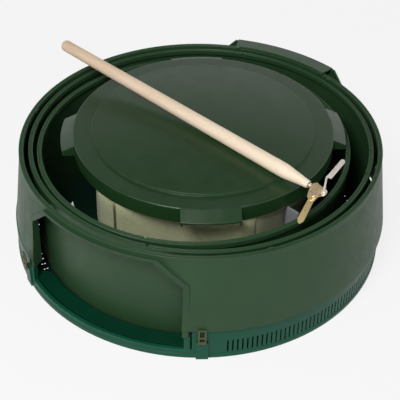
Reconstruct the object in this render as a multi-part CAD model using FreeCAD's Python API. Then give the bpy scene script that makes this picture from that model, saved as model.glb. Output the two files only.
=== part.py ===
import FreeCAD, Part
import math
import os

Vector = FreeCAD.Vector
UP = Vector(0, 0, 1)
ORIGIN = Vector(0, 0, 0)

# A round insulated composter, packed as a kit: three rings stand inside each other on the
# base plate, the folded jacket stands inside them, and the lid and the stirring stick lie on top.
# The origin is the middle of the base's underside, plus Z is up, lengths are in millimetres.
# Angles are in degrees from the front, which is minus Y, towards plus X.

# Clearance between pieces that rest on each other, and how far a cutting shape runs past a face
play = 0.3
past = 5.0

# Base plate
base_radius = 390.0
base_wall = 6.0
foot_height = 11.0
foot_step = 1.5
foot_width = 24.0
floor_low = 8.0
floor_thick = 2.0
floor_play = 0.5
floor_ledge = 12.0
floor_radius = base_radius - foot_width + floor_ledge - floor_play
band_height = 75.0
sill_height = 21.0
sill_wall = 9.0
sill_plate_inners = (345.0, 354.5)
sill_plate_reach = 306.0
sill_plate_high = 19.5
sill_plate_wall = 3.0
sill_round = 1.2
band_round = 1.0
band_end_gap = 0.6
sill_overlap = 1.0
post_depth = 12.0
slit_low = 13.0
slit_high = 44.0
slit_width = 3.2
slit_pitch = 1.44
slit_half_span = 51.0
tab_width = 23.5
tab_height = 44.0
tab_proud = 2.5
hole_radius = 2.2
fine_rows = (347.0, 353.0)
fine_count = 135
coarse_row = 206.0
coarse_pitch = 45.0
clip_angles = (-61.7, 1.7, 118.3, 181.7)
slit_angles = (60.0, 240.0)

# Hatch openings in the lower ring, one at the front and one opposite
hatch_angles = (-30.85, 149.15)
hatch_half_foot = 189.0
hatch_half_jamb = 185.0
hatch_half_top = 123.5
hatch_jamb_height = 180.6
frame_width = 10.0
frame_foot = 57.0
frame_inner_radius = 366.0
frame_lean = 9.0
frame_proud = 7.0
frame_drop = 0.6
prism_near = 250.0
prism_far = 420.0

# Rings: the rim's outer radius, the rim's width, and where each ring's axis stands
rim_height = 242.0
nested_rim_height = 237.0
rim_depth = 12.0
wall_thick = 4.0
lower_rim_radius = 371.5
lower_rim_width = 10.0
lower_foot_radius = 391.0
lower_centre = Vector(4.5, -2, 0)
middle_rim_radius = 354.0
middle_rim_width = 10.0
middle_foot_radius = 345.2
middle_centre = Vector(5, 2.5, 0)
upper_rim_radius = 320.0
upper_rim_width = 10.0
upper_foot_radius = 313.0
upper_centre = Vector(-9.6, -10, 0)
rim_round = 1.6
bead_width = 3.0
bead_depth = 1.6
bead_slope = 1.0
bead_round = 0.8
rim_underside = 2.0
rim_gusset = 3.0
rim_lug_angles = (21.0, 75.0, 129.0)
rim_lug_width = 9.0
rim_notch_angles = (-109.0, -96.0, -16.0, 84.0, 71.0, 164.0)
rim_notch_width = 5.0
rim_notch_depth = 5.0
rim_lug_reach = 2.0
rim_lug_low = 7.0
rim_lug_high = 0.5

# Clip loops on the base that stand up in front of the lower ring's foot
loop_inner = 394.6
loop_width = 16.0
loop_thick = 3.0
loop_low = 45.5
loop_high = 82.0
loop_window = 9.5
loop_windows = ((51.5, 59.5), (63.5, 79.0))
loop_peg = 8.0
loop_peg_low = 46.5
loop_peg_high = 50.5
loop_peg_play = 0.1

# Hatch doors
door_radius = 394.0
door_thick = 4.0
door_low = 25.0
door_edge = 2.5
door_lip_half_span = 17.6
door_lip_cover = 8.5
door_lip_slope = 1.5
hook_half_span = 17.0
hook_width = 8.0
hook_rise = 2.5
hook_drop = 3.5
hook_lip = 1.0
hook_gap = 0.6
door_rib_width = 6.0
door_rib_rise = 34.0
door_rib_proud = 2.0
door_round = 1.5
stored_door_angle = 176.0
stored_door_reach = 284.0

# Lid
lid_centre = Vector(9, 0, 0)
lid_radius = 266.0
lid_disc_radius = 227.0
lid_crown = 282.0
lid_disc_edge = 273.0
lid_flange_inner = 268.5
lid_flange_outer = 267.4
lid_step_run = 1.2
lid_thick = 3.5
lid_skirt_low = 233.5
lid_edge_round = 3.0
lid_edge_half = 0.9
lid_under_shift = 2.0
lid_under_drop = 1.0
hood_first_angle = 3.4
hood_half_width = 57.0
hood_reach = 291.0
hood_outer_top = 254.0
hood_low = 243.5
hood_root = 262.0
vent_half_width = 46.0
vent_top = 258.0
hood_sink = 0.6
hood_round = 1.2
hood_half_sweep = 20.0

# Folded jacket: corners of its outer face, seen from above
jacket_corners = (
    (-198, -168), (-159, -203), (88, -246), (112, -240), (168, -203), (232, -95),
    (240, 60), (175, 150), (40, 198), (-110, 190), (-204, 110), (-213, -20),
)
jacket_middle = Vector(0, -20, 0)
jacket_top = 233.0
cover_inner = 0.975
core_outer = 0.973
core_inner = 0.88
lining_outer = 0.878
lining_inner = 0.85
flap_reach = 34.0
flap_thick = 4.0
flap_play = 1.0
flap_drop = 2.0
flap_corner = 4
strap_width = 38.0
strap_thick = 2.5
strap_height = 120.0
strap_play = 0.05
strap_corner_pairs = ((8, 9), (6, 7))

# Stirring stick: middle of the far end and of the wood's tip
stick_far = Vector(-296, 228, 320)
stick_tip = Vector(208, -211, 286)
stick_far_radius = 12.2
stick_thick_radius = 14.8
stick_end_radius = 7.5
stick_cone = 58.0
stick_dome = 9.0
stud_radius = 3.5
stud_depth = 24.0
stud_play = 0.02
stud_end_play = 0.5
collar_play = 1.0
shoulder_round = 60.0
tip_round = 1.0
collar_radius = 4.6
collar_thick = 5.0
mouth_radius = 5.2
mouth_depth = 4.0

# Stick head: two plates on the stud, with a folding wing pinned between them on each side.
# Places in the head's plane are (along, side) from the wood's tip; a third value rounds a corner.
wing_roll = 28.0
upper_pivot = (33.8, 2.1)
lower_pivot = (21.8, -14.5)
head_gap = 2.8
head_plate = 2.0
head_back = 7.0
head_root_half = 5.0
root_round = 1.0
web_length = 6.0
front_plate = ((12.6, -21.4, 6), (21.6, -28.0, 6), (32.4, -12.5, 7), (27.0, 5.1, 5), (13.5, 11.8, 4))
rear_plate = (
    (12.6, -20.5, 6), (20.5, -27.5, 6), (28.5, -23.0, 6), (31.0, -9.0, 7), (39.0, -3.5, 4.5),
    (39.0, 7.5, 4.5), (26.0, 10.0, 3), (14.0, 11.5, 3),
)
upper_wing_outline = (
    (31.0, 2.6), (18.4, 30.5, 2), (19.9, 37.0, 4), (22.3, 77.0, 4.2), (31.5, 77.0, 4.2), (29.6, 31.0, 2),
    (22.2, 30.2, 1), (34.6, 4.2),
)
lower_wing_outline = (
    (16.4, -14.0), (18.0, -29.5), (24.3, -69.0, 3), (32.3, -77.0, 2.5), (37.4, -67.0, 4),
    (30.7, -33.0, 3), (27.4, -14.0),
)
wing_thick = 2.4
wing_eye_radius = 6.5
pin_radius = 2.5
pin_clearance = 0.05
pin_play = 0.02
pin_head_radius = 4.5
pin_head = 1.8
pin_head_round = 1.5
pin_bore = 30.0
pin_wing_play = 0.3


def spot(radius, angle, height=0.0):
    turn = math.radians(angle)
    return Vector(radius * math.sin(turn), -radius * math.cos(turn), height)


def corner_cut(before, corner, after, radius):
    """Points where a rounding of a corner starts, is halfway, and ends, in a flat outline."""
    back = (before - corner).normalize()
    ahead = (after - corner).normalize()
    half = math.acos(max(-1.0, min(1.0, back.dot(ahead)))) / 2
    reach = radius / math.tan(half)
    inward = (back + ahead).normalize()
    halfway = corner + inward * (radius / math.sin(half) - radius)
    return corner + back * reach, halfway, corner + ahead * reach


def outline_wire(corners, place):
    """A closed wire through (a, b) corners; a third value rounds that corner."""
    flat = [Vector(corner[0], corner[1], 0) for corner in corners]
    count = len(corners)
    edges = []
    stops = []
    for index, corner in enumerate(corners):
        if len(corner) == 2:
            stops.append((flat[index], None, flat[index]))
        else:
            before = flat[index - 1]
            after = flat[(index + 1) % count]
            stops.append(corner_cut(before, flat[index], after, corner[2]))
    for index in range(count):
        start, halfway, end = stops[index]
        if halfway is not None:
            edges.append(Part.Arc(place(start), place(halfway), place(end)).toShape())
        following = stops[(index + 1) % count][0]
        if end.distanceToPoint(following) > 0.001:
            edges.append(Part.LineSegment(place(end), place(following)).toShape())
    return Part.Wire(edges)


def turned(corners, centre=ORIGIN, start=0.0, sweep=360.0):
    """A solid turned about an upright axis from (radius, height) corners."""
    def place(point):
        return spot(point.x, start, point.y) + centre
    face = Part.Face(outline_wire(corners, place))
    return face.revolve(centre, UP, sweep)


def ring_block(inner, outer, low, high, angle, width, centre=ORIGIN):
    """A straight block that faces outward at an angle, between two radii and two heights."""
    block = Part.makeBox(width, outer - inner, high - low, Vector(-width / 2, -outer, low))
    block.rotate(ORIGIN, UP, angle)
    block.translate(centre)
    return block


def outward_prism(corners, angle):
    """A flat outline of (sideways, height) corners, drawn out along the direction of an angle."""
    def place(point):
        return Vector(point.x, -prism_near, point.y)
    prism = Part.Face(outline_wire(corners, place)).extrude(Vector(0, prism_near - prism_far, 0))
    prism.rotate(ORIGIN, UP, angle)
    return prism


def standing_prism(points, low, high, holes=()):
    """A plan outline, with any inner outlines left open, drawn up from low to high."""
    wires = [Part.makePolygon([Vector(x, y, low) for x, y in points + points[:1]])]
    for hole in holes:
        wires.append(Part.makePolygon([Vector(x, y, low) for x, y in hole + hole[:1]]))
    return Part.makeFace(wires, "Part::FaceMakerBullseye").extrude(Vector(0, 0, high - low))


def hatch_outline(inset):
    """The hatch frame's outline, moved inward by an inset, open to the ground."""
    slope = math.atan2(rim_height - hatch_jamb_height, hatch_half_jamb - hatch_half_top)
    drop = inset / math.cos(slope) - inset * math.tan(slope)
    top = rim_height - rim_depth if inset else rim_height - rim_depth / 2
    reach = hatch_half_top + (rim_height - top) / math.tan(slope) - inset / math.sin(slope)
    right = [
        (hatch_half_foot - inset, 0),
        (hatch_half_jamb - inset, hatch_jamb_height - drop),
        (reach, top),
    ]
    left = [(-side, height) for side, height in reversed(right)]
    return right + left


def base_rim():
    inner = base_radius - foot_width
    seat = floor_low + floor_thick
    band_outer = base_radius - foot_step
    foot = turned((
        (inner, 0), (base_radius - foot_step, 0), (base_radius, foot_step),
        (base_radius, foot_height - foot_step, band_round), (band_outer, foot_height),
        (inner + floor_ledge, foot_height), (inner + floor_ledge, floor_low), (inner, floor_low),
    ))
    hatch_half = math.degrees(math.asin(hatch_half_foot / band_outer)) + band_end_gap
    pieces = []
    for hatch in hatch_angles:
        pieces.append(turned((
            (band_outer - sill_wall, seat), (band_outer, seat), (band_outer, sill_height, sill_round),
            (band_outer - sill_wall, sill_height, sill_round),
        ), start=hatch - hatch_half - sill_overlap, sweep=2 * (hatch_half + sill_overlap)))
        pieces.append(turned((
            (band_outer - base_wall, seat), (band_outer, seat), (band_outer, band_height, band_round),
            (band_outer - base_wall, band_height, band_round),
        ), start=hatch + hatch_half, sweep=180 - 2 * hatch_half))
        post_outline = [
            (hatch_half_foot - frame_width, seat), (hatch_half_foot, seat),
            (hatch_half_foot, frame_foot - play), (hatch_half_foot - frame_width, frame_foot - play),
        ]
        shell = turned((
            (band_outer - post_depth, seat), (band_outer, seat),
            (band_outer, frame_foot), (band_outer - post_depth, frame_foot),
        ))
        for side in (-1, 1):
            outline = [(side * across, height) for across, height in post_outline]
            pieces.append(outward_prism(outline, hatch).common(shell))
    for angle in clip_angles:
        pieces.append(ring_block(band_outer - base_wall / 2, base_radius + tab_proud, 0,
                                 tab_height, angle, tab_width))
    gaps = [clip_peg(angle, band_outer - base_wall - past, 0) for angle in clip_angles]
    for middle in slit_angles:
        for step in range(int(2 * slit_half_span / slit_pitch) + 1):
            gaps.append(ring_block(band_outer - base_wall - past, base_radius + past, slit_low,
                                   slit_high, middle - slit_half_span + step * slit_pitch, slit_width))
    return foot.multiFuse(pieces).cut(Part.makeCompound(gaps)).removeSplitter()


def base_floor():
    rows = [(row, fine_count) for row in fine_rows]
    row = coarse_row
    while row > 0:
        rows.append((row, int(2 * math.pi * row / coarse_pitch)))
        row -= coarse_pitch
    wires = [Part.Wire(Part.makeCircle(floor_radius, Vector(0, 0, floor_low)))]
    for row_radius, count in rows:
        for step in range(count):
            middle = spot(row_radius, 360.0 * step / count, floor_low)
            wires.append(Part.Wire(Part.makeCircle(hole_radius, middle)))
    return Part.makeFace(wires, "Part::FaceMakerBullseye").extrude(Vector(0, 0, floor_thick))


def sill_block(hatch, inner, inset, high):
    """A low curved block on the floor behind a hatch sill, with a straight end across the hatch."""
    low = floor_low + floor_thick + play
    near = inner + inset
    outer = base_radius - foot_step - post_depth - play - inset
    band = turned(((near, low), (outer, low), (outer, high), (near, high)))
    ahead = ring_block(sill_plate_reach + inset, base_radius, low, high, hatch, 2 * base_radius)
    return band.common(ahead)


def sill_plates():
    """The raised plain plates behind the two sills, hollow below."""
    plates = []
    for hatch, inner in zip(hatch_angles, sill_plate_inners):
        plate = sill_block(hatch, inner, 0, sill_plate_high)
        hollow = sill_block(hatch, inner, sill_plate_wall, sill_plate_high - sill_plate_wall)
        plates.append(plate.cut(hollow))
    return Part.makeCompound(plates)


def plain_ring(rim_radius, rim_width, rim_top, foot_radius, foot_level, centre):
    """A ring: an upright or sloping wall under a flat rim with a thin bead inside and out."""
    rim_low = rim_top - rim_depth
    inner = rim_radius - rim_width
    wall_top = rim_radius if foot_radius > rim_radius else rim_radius - rim_width / 4
    wall_inner = max(wall_top - wall_thick, inner + bead_slope)
    bead_foot = bead_width + bead_slope
    return turned((
        (foot_radius - wall_thick, foot_level), (foot_radius, foot_level),
        (wall_top, rim_low), (rim_radius, rim_low),
        (rim_radius, rim_top, rim_round), (rim_radius - bead_width, rim_top, bead_round),
        (rim_radius - bead_foot, rim_top - bead_depth), (inner + bead_foot, rim_top - bead_depth),
        (inner + bead_width, rim_top, bead_round), (inner, rim_top, rim_round),
        (inner, rim_low + rim_underside, bead_round), (wall_inner, rim_low - rim_gusset),
    ), centre)


def rim_notches(rim_radius, rim_width, centre):
    """Small gaps in a rim's inner bead, where the ring above locks in."""
    return Part.makeCompound([
        ring_block(rim_radius - rim_width - past, rim_radius - rim_width + bead_width + bead_slope,
                   nested_rim_height - rim_notch_depth, nested_rim_height + past, angle,
                   rim_notch_width, centre)
        for angle in rim_notch_angles
    ])


def lower_ring():
    ring = plain_ring(lower_rim_radius, lower_rim_width, rim_height, lower_foot_radius,
                      band_height + play, lower_centre)
    rim_low = rim_height - rim_depth
    rim_inner = lower_rim_radius - lower_rim_width
    shell = turned((
        (frame_inner_radius, frame_foot), (base_radius, frame_foot),
        (base_radius - frame_lean, hatch_jamb_height),
        (lower_rim_radius + frame_proud, rim_height - frame_drop),
        (lower_rim_radius - frame_drop, rim_height - frame_drop), (frame_inner_radius, rim_low),
    ), lower_centre)
    frames = []
    for angle in hatch_angles:
        opening = outward_prism(hatch_outline(frame_width), angle)
        ring = ring.cut(opening)
        frame = outward_prism(hatch_outline(0), angle).cut(opening)
        frames.append(frame.common(shell))
    lugs = [
        ring_block(rim_inner - rim_lug_reach, lower_rim_radius - past,
                   rim_height - rim_lug_low, rim_height - rim_lug_high, angle + turn, rim_lug_width,
                   lower_centre)
        for angle in rim_lug_angles for turn in (0, 180)
    ]
    return ring.multiFuse(frames + lugs).removeSplitter()


def clip_peg(angle, inner, slack):
    """The peg that holds a clip loop in the base's wall; a slack makes it thinner."""
    outer = loop_inner + loop_thick / 2
    return ring_block(inner, outer, loop_peg_low + slack, loop_peg_high - slack, angle,
                      loop_peg - 2 * slack)


def clip_loops():
    """Four moulded loops, each pegged into the base's wall above a tab."""
    outer = loop_inner + loop_thick
    peg_inner = base_radius - foot_step - base_wall
    loops = []
    for angle in clip_angles:
        loop = ring_block(loop_inner, outer, loop_low, loop_high, angle, loop_width)
        windows = [
            ring_block(loop_inner - past, outer + past, low, high, angle, loop_window)
            for low, high in loop_windows
        ]
        loop = loop.cut(Part.makeCompound(windows))
        loops.append(loop.fuse(clip_peg(angle, peg_inner, loop_peg_play)).removeSplitter())
    return Part.makeCompound(loops)


def middle_ring():
    ring = plain_ring(middle_rim_radius, middle_rim_width, nested_rim_height, middle_foot_radius,
                      floor_low + floor_thick + play, middle_centre)
    return ring.cut(rim_notches(middle_rim_radius, middle_rim_width, middle_centre))


def upper_ring():
    ring = plain_ring(upper_rim_radius, upper_rim_width, nested_rim_height, upper_foot_radius,
                      floor_low + floor_thick + play, upper_centre)
    return ring.cut(rim_notches(upper_rim_radius, upper_rim_width, upper_centre))


def hatch_door():
    """A curved door that faces the front, with a rib across it."""
    outer = door_radius + door_thick
    outline = [
        (side, max(height, door_low)) for side, height in hatch_outline(0)
    ]
    outline[2] = (outline[2][0] - door_edge, rim_height)
    outline[3] = (outline[3][0] + door_edge, rim_height)
    shell = turned((
        (door_radius, door_low), (outer, door_low, door_round), (outer, rim_height),
        (door_radius, rim_height),
    ))
    door = outward_prism(outline, 0).common(shell)
    rib_half = hatch_half_jamb - 2 * frame_width
    rib_low = door_low + door_rib_rise
    rib_inner = outer - door_thick / 2
    rib_outer = outer + door_rib_proud
    rib_outline = [
        (-rib_half, rib_low), (rib_half, rib_low),
        (rib_half, rib_low + door_rib_width), (-rib_half, rib_low + door_rib_width),
    ]
    rib_shell = turned((
        (rib_inner, door_low), (rib_outer, door_low), (rib_outer, rim_height), (rib_inner, rim_height),
    ))
    rib = outward_prism(rib_outline, 0).common(rib_shell)
    return door.fuse(rib).removeSplitter()


def hatch_lip():
    """The lip along a door's top that lies over the rim, with two hooks that drop behind it."""
    outer = door_radius + door_thick
    inner = lower_rim_radius - door_lip_cover
    low = rim_height + play
    high = rim_height + hook_rise
    lip = turned((
        (inner, low), (door_radius, low), (door_radius, rim_height), (outer, rim_height),
        (outer, high, door_round), (inner, high + door_lip_slope, door_round),
    ), start=-door_lip_half_span, sweep=2 * door_lip_half_span)
    hook_outer = lower_rim_radius - lower_rim_width - hook_gap
    hook_inner = hook_outer - hook_lip
    hooks = []
    for side in (-1, 1):
        angle = side * hook_half_span
        hooks.append(ring_block(hook_inner, inner + past, low, high, angle, hook_width))
        hooks.append(ring_block(hook_inner, hook_outer, rim_height - hook_drop, high, angle, hook_width))
    return lip.multiFuse(hooks).removeSplitter()


def hung_behind(shape):
    """A door piece on the lower ring's own axis, turned so that it still covers the rear hatch."""
    angle = hatch_angles[1]
    across = spot(1, angle + 90)
    shape.rotate(ORIGIN, UP, angle - math.degrees(math.asin(lower_centre.dot(across) / door_radius)))
    shape.translate(lower_centre)
    return shape


def stored_inside(shape):
    """A piece of the second door, stored upright between the jacket and the upper ring."""
    lower = floor_low + floor_thick + play - door_low
    shape.translate(Vector(0, door_radius + door_thick - stored_door_reach, lower))
    shape.rotate(ORIGIN, UP, stored_door_angle)
    shape.translate(upper_centre)
    return shape


def lid_cover():
    disc = lid_disc_radius
    step = disc + lid_step_run
    under = lid_thick
    skirt_inner = lid_radius - lid_thick
    rise = lid_crown - lid_disc_edge
    bow = (disc * disc + rise * rise) / (2 * rise)
    inner_disc = disc - lid_under_shift

    def place(radius, height):
        return Vector(radius, 0, height)

    def dome(radius, depth):
        return place(radius, lid_crown - bow + math.sqrt((bow - depth) ** 2 - radius ** 2))

    top = [
        Part.Arc(dome(0, 0), dome(disc / 2, 0), dome(disc, 0)),
        Part.LineSegment(dome(disc, 0), place(step, lid_flange_inner)),
        Part.LineSegment(place(step, lid_flange_inner),
                         place(lid_radius - lid_edge_round, lid_flange_outer)),
        Part.Arc(place(lid_radius - lid_edge_round, lid_flange_outer),
                 place(lid_radius - lid_edge_half, lid_flange_outer - lid_edge_half),
                 place(lid_radius, lid_flange_outer - lid_edge_round)),
        Part.LineSegment(place(lid_radius, lid_flange_outer - lid_edge_round),
                         place(lid_radius, lid_skirt_low)),
        Part.LineSegment(place(lid_radius, lid_skirt_low), place(skirt_inner, lid_skirt_low)),
        Part.LineSegment(place(skirt_inner, lid_skirt_low),
                         place(skirt_inner, lid_flange_outer - under - lid_under_drop)),
        Part.LineSegment(place(skirt_inner, lid_flange_outer - under - lid_under_drop),
                         place(step - lid_under_shift, lid_flange_inner - under)),
        Part.LineSegment(place(step - lid_under_shift, lid_flange_inner - under),
                         dome(inner_disc, under)),
        Part.Arc(dome(inner_disc, under), dome(inner_disc / 2, under), dome(0, under)),
        Part.LineSegment(dome(0, under), dome(0, 0)),
    ]
    shell = Part.Face(Part.Wire([edge.toShape() for edge in top])).revolve(ORIGIN, UP, 360)
    hoods = []
    vents = []
    for quarter in range(4):
        angle = hood_first_angle + 90 * quarter
        hoods.append(lid_hood(angle))
        vents.append(ring_block(lid_radius - 2 * past, lid_radius + 2 * past, hood_low, vent_top,
                                angle, 2 * vent_half_width))
    lid = shell.cut(Part.makeCompound(vents)).multiFuse(hoods).removeSplitter()
    lid.translate(lid_centre)
    return lid


def lid_hood(angle):
    """A vent hood: a sloping roof on two side walls, open at its rounded outer end."""
    roof_top = lid_flange_outer - hood_sink
    knee = lid_radius - hood_sink
    sector = {"start": -hood_half_sweep, "sweep": 2 * hood_half_sweep}
    whole = turned((
        (hood_root, hood_low), (hood_reach, hood_low), (hood_reach, hood_outer_top, hood_round),
        (knee, roof_top), (hood_root, roof_top),
    ), **sector)
    room = turned((
        (hood_root - past, hood_low - past), (hood_reach + past, hood_low - past),
        (hood_reach + past, hood_outer_top - lid_thick), (hood_reach, hood_outer_top - lid_thick),
        (knee, roof_top - lid_thick), (hood_root - past, roof_top - lid_thick),
    ), **sector)
    height = 2 * rim_height
    outside = ring_block(hood_root - past, hood_reach + past, 0, height, 0, 2 * hood_half_width)
    inside = ring_block(hood_root - 2 * past, hood_reach + 2 * past, 0, height, 0,
                        2 * (hood_half_width - lid_thick))
    hood = whole.common(outside).cut(room.common(inside)).removeSplitter()
    hood.rotate(ORIGIN, UP, angle)
    return hood


def jacket_outline(share):
    """The jacket's plan outline, drawn in towards its middle."""
    return [
        (jacket_middle.x + (x - jacket_middle.x) * share,
         jacket_middle.y + (y - jacket_middle.y) * share)
        for x, y in jacket_corners
    ]


def jacket_layer(outer, inner):
    low = floor_low + floor_thick + play
    return standing_prism(jacket_outline(outer), low, jacket_top - play, [jacket_outline(inner)])


def jacket_flap():
    """The loose end of the lining, which stands out from the jacket's right front corner."""
    root = Vector(*jacket_corners[flap_corner], 0)
    outward = (root - jacket_middle).normalize()
    across = Vector(-outward.y, outward.x, 0) * (flap_thick / 2)
    near = root + outward * flap_play
    far = root + outward * flap_reach
    plan = [near - across, far - across, far + across, near + across]
    low = floor_low + floor_thick + play
    return standing_prism([(point.x, point.y) for point in plan], low, jacket_top - flap_drop)


def jacket_straps():
    """Two flat closing straps on the back of the folded jacket."""
    straps = []
    middle_height = (floor_low + floor_thick + jacket_top) / 2
    for first, second in strap_corner_pairs:
        start = Vector(*jacket_corners[first], 0)
        end = Vector(*jacket_corners[second], 0)
        along = (end - start).normalize()
        outward = Vector(along.y, -along.x, 0)
        if outward.dot(start - jacket_middle) < 0:
            outward = outward * -1
        middle = (start + end) / 2 + outward * strap_play
        plan = [
            middle - along * strap_width / 2, middle + along * strap_width / 2,
            middle + along * strap_width / 2 + outward * strap_thick,
            middle - along * strap_width / 2 + outward * strap_thick,
        ]
        straps.append(standing_prism([(point.x, point.y) for point in plan],
                                     middle_height - strap_height / 2,
                                     middle_height + strap_height / 2))
    return Part.makeCompound(straps)


# Directions of the stick: along it to the tip, sideways along the wings, and out of the head's face
stick_line = stick_tip - stick_far
stick_length = stick_line.Length
stick_along = (stick_tip - stick_far).normalize()
level_side = Vector(-stick_along.y, stick_along.x, 0).normalize()
stick_rise = stick_along.cross(level_side)
roll = math.radians(wing_roll)
wing_side = level_side * math.cos(roll) + stick_rise * math.sin(roll)
head_face = stick_along.cross(wing_side)


def stick_turned(corners):
    """A solid turned about the stick from (distance past the far end, radius) corners."""
    def place(point):
        return stick_far + stick_along * point.x + wing_side * point.y
    face = Part.Face(outline_wire(corners, place))
    return face.revolve(stick_far, stick_along, 360)


def stick_handle():
    shoulder = stick_length - stick_cone
    handle = stick_turned((
        (0, 0), (0, stick_far_radius, stick_dome), (shoulder, stick_thick_radius, shoulder_round),
        (stick_length, stick_end_radius, tip_round), (stick_length, 0),
    ))
    bore = Part.makeCylinder(stud_radius, stud_depth, stick_tip, stick_along * -1)
    mouth = Part.makeCylinder(mouth_radius, mouth_depth, stick_tip, stick_along * -1)
    return handle.cut(bore.fuse(mouth))


def head_stud():
    sunk = stud_depth - stud_end_play
    start = stick_tip - stick_along * sunk
    stud = Part.makeCylinder(stud_radius - stud_play, sunk + head_back, start, stick_along)
    collar = Part.makeCylinder(collar_radius, collar_thick, stick_tip + stick_along * collar_play,
                               stick_along)
    return stud.fuse(collar).removeSplitter()


def head_point(along, side, off):
    return stick_tip + stick_along * along + wing_side * side + head_face * off


def head_slab(corners, low, high):
    """A flat outline of (along, side) corners in the head's plane, between two offsets."""
    def place(point):
        return head_point(point.x, point.y, low)
    return Part.Face(outline_wire(corners, place)).extrude(head_face * (high - low))


def head_clevis():
    """Two plates joined by a web at the stud, with bores for the two wing pins."""
    half_gap = head_gap / 2
    root = ((head_back, head_root_half, root_round), (head_back, -head_root_half, root_round))
    web_end = head_back + web_length
    front = head_slab(root + front_plate, half_gap, half_gap + head_plate)
    rear = head_slab(root + rear_plate, -half_gap - head_plate, -half_gap)
    web = head_slab(root + ((web_end, -head_root_half, root_round), (web_end, head_root_half, root_round)),
                    -half_gap - head_plate / 2, half_gap + head_plate / 2)
    bores = [
        Part.makeCylinder(pin_radius, pin_bore, head_point(along, side, -pin_bore / 2), head_face)
        for along, side in (upper_pivot, lower_pivot)
    ]
    return front.multiFuse([rear, web]).cut(Part.makeCompound(bores)).removeSplitter()


def pivot_pin(pivot, top):
    """A riveted pin from under the rear plate to a height, with a domed head at each end."""
    low = -head_gap / 2 - head_plate
    middle = head_point(*pivot, 0)
    shank = pin_radius - pin_play

    def place(point):
        return middle + stick_along * point.x + head_face * point.y

    profile = (
        (0, low - pin_head), (pin_head_radius, low - pin_head, pin_head_round), (pin_head_radius, low),
        (shank, low), (shank, top), (pin_head_radius, top),
        (pin_head_radius, top + pin_head, pin_head_round), (0, top + pin_head),
    )
    return Part.Face(outline_wire(profile, place)).revolve(middle, head_face, 360)


def wing(pivot, outline):
    """A flat wing: a blade on an eye that turns on its pin."""
    low = -wing_thick / 2
    blade = head_slab(outline, low, -low)
    eye = Part.makeCylinder(wing_eye_radius, wing_thick, head_point(*pivot, low), head_face)
    hole = Part.makeCylinder(pin_radius - pin_play + pin_clearance, pin_bore,
                             head_point(*pivot, -pin_bore / 2), head_face)
    return blade.fuse(eye).cut(hole).removeSplitter()


def build():
    os.makedirs("parts", exist_ok=True)
    nodes = {
        "base_rim": base_rim(),
        "base_floor": base_floor(),
        "sill_plates": sill_plates(),
        "lower_ring": lower_ring(),
        "clip_loops": clip_loops(),
        "hatch_door_rear": hung_behind(hatch_door()),
        "hatch_lip_rear": hung_behind(hatch_lip()),
        "middle_ring": middle_ring(),
        "upper_ring": upper_ring(),
        "hatch_door_front": stored_inside(hatch_door()),
        "hatch_lip_front": stored_inside(hatch_lip()),
        "jacket_cover": jacket_layer(1.0, cover_inner),
        "jacket_core": jacket_layer(core_outer, core_inner),
        "jacket_lining": jacket_layer(lining_outer, lining_inner),
        "jacket_flap": jacket_flap(),
        "jacket_straps": jacket_straps(),
        "lid_cover": lid_cover(),
        "stick_handle": stick_handle(),
        "head_stud": head_stud(),
        "head_clevis": head_clevis(),
        "upper_wing_pin": pivot_pin(upper_pivot, wing_thick / 2 + pin_wing_play),
        "lower_wing_pin": pivot_pin(lower_pivot, head_gap / 2 + head_plate),
        "upper_wing": wing(upper_pivot, upper_wing_outline),
        "lower_wing": wing(lower_pivot, lower_wing_outline),
    }
    for name, shape in nodes.items():
        box = shape.BoundBox
        print(f"{name}: {len(shape.Solids)} solid, valid {shape.isValid()}, "
              f"{shape.Volume / 1000:.1f} cm3, z {box.ZMin:.1f} to {box.ZMax:.1f}")
        shape.exportStep(f"parts/{name}.step")


build()
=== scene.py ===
import math

import bmesh
import bpy
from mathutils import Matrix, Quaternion, Vector, noise


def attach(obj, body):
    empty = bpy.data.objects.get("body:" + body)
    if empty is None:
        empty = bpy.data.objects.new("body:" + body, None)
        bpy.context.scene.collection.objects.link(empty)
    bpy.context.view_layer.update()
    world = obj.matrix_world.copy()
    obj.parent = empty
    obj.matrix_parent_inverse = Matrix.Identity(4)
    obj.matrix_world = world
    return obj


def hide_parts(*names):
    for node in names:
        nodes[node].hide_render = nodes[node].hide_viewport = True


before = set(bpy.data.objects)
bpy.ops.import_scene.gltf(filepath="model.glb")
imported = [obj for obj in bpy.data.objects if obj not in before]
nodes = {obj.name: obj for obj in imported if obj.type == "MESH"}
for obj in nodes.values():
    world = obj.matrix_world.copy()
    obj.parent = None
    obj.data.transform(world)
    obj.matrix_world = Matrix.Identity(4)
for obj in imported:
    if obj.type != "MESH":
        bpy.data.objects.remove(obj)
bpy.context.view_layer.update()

# Camera: places in metres, lens and sensor in millimetres
camera_place = Vector((0.0043, -1.7824, 1.5273))
camera_target = Vector((0.0043, 0.0, 0.0736))
camera_roll = math.radians(0.7)
camera_lens = 96.0
camera_sensor = 36.0
camera_reach = 100.0

# Studio: a pale wall all round, a dark ceiling with a soft panel overhead, and a soft key in front
floor_half = 14.0
floor_tone = (0.8, 0.8, 0.8, 1.0)
floor_shadow = 0.12
floor_level = 0.95
wall_level = 0.95
ceiling_level = 0.06
panel_level = 0.20
wall_top_sine = 0.46
ceiling_sine = 0.62
ceiling_end_sine = 0.86
panel_sine = 0.96
studio_up = Vector((-0.12, 0.0, 1.0)).normalized()
key_place = Vector((-0.6, -1.55, 2.32))
key_aim = Vector((0.0, 0.0, 0.15))
key_size = 1.0
key_power = 58.0

# Finish of the moulded plastic: sizes in metres, and how far its roughness varies
grain_size = 0.0016
grain_height = 0.00005
grain_strength = 0.35
blotch_size = 0.09
rub_and_highlight_size = 0.02
gloss_size = blotch_size / 3
gloss_drop = 0.05
gloss_rise = 0.07
edge_round = 0.0012
edge_samples = 4
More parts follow.
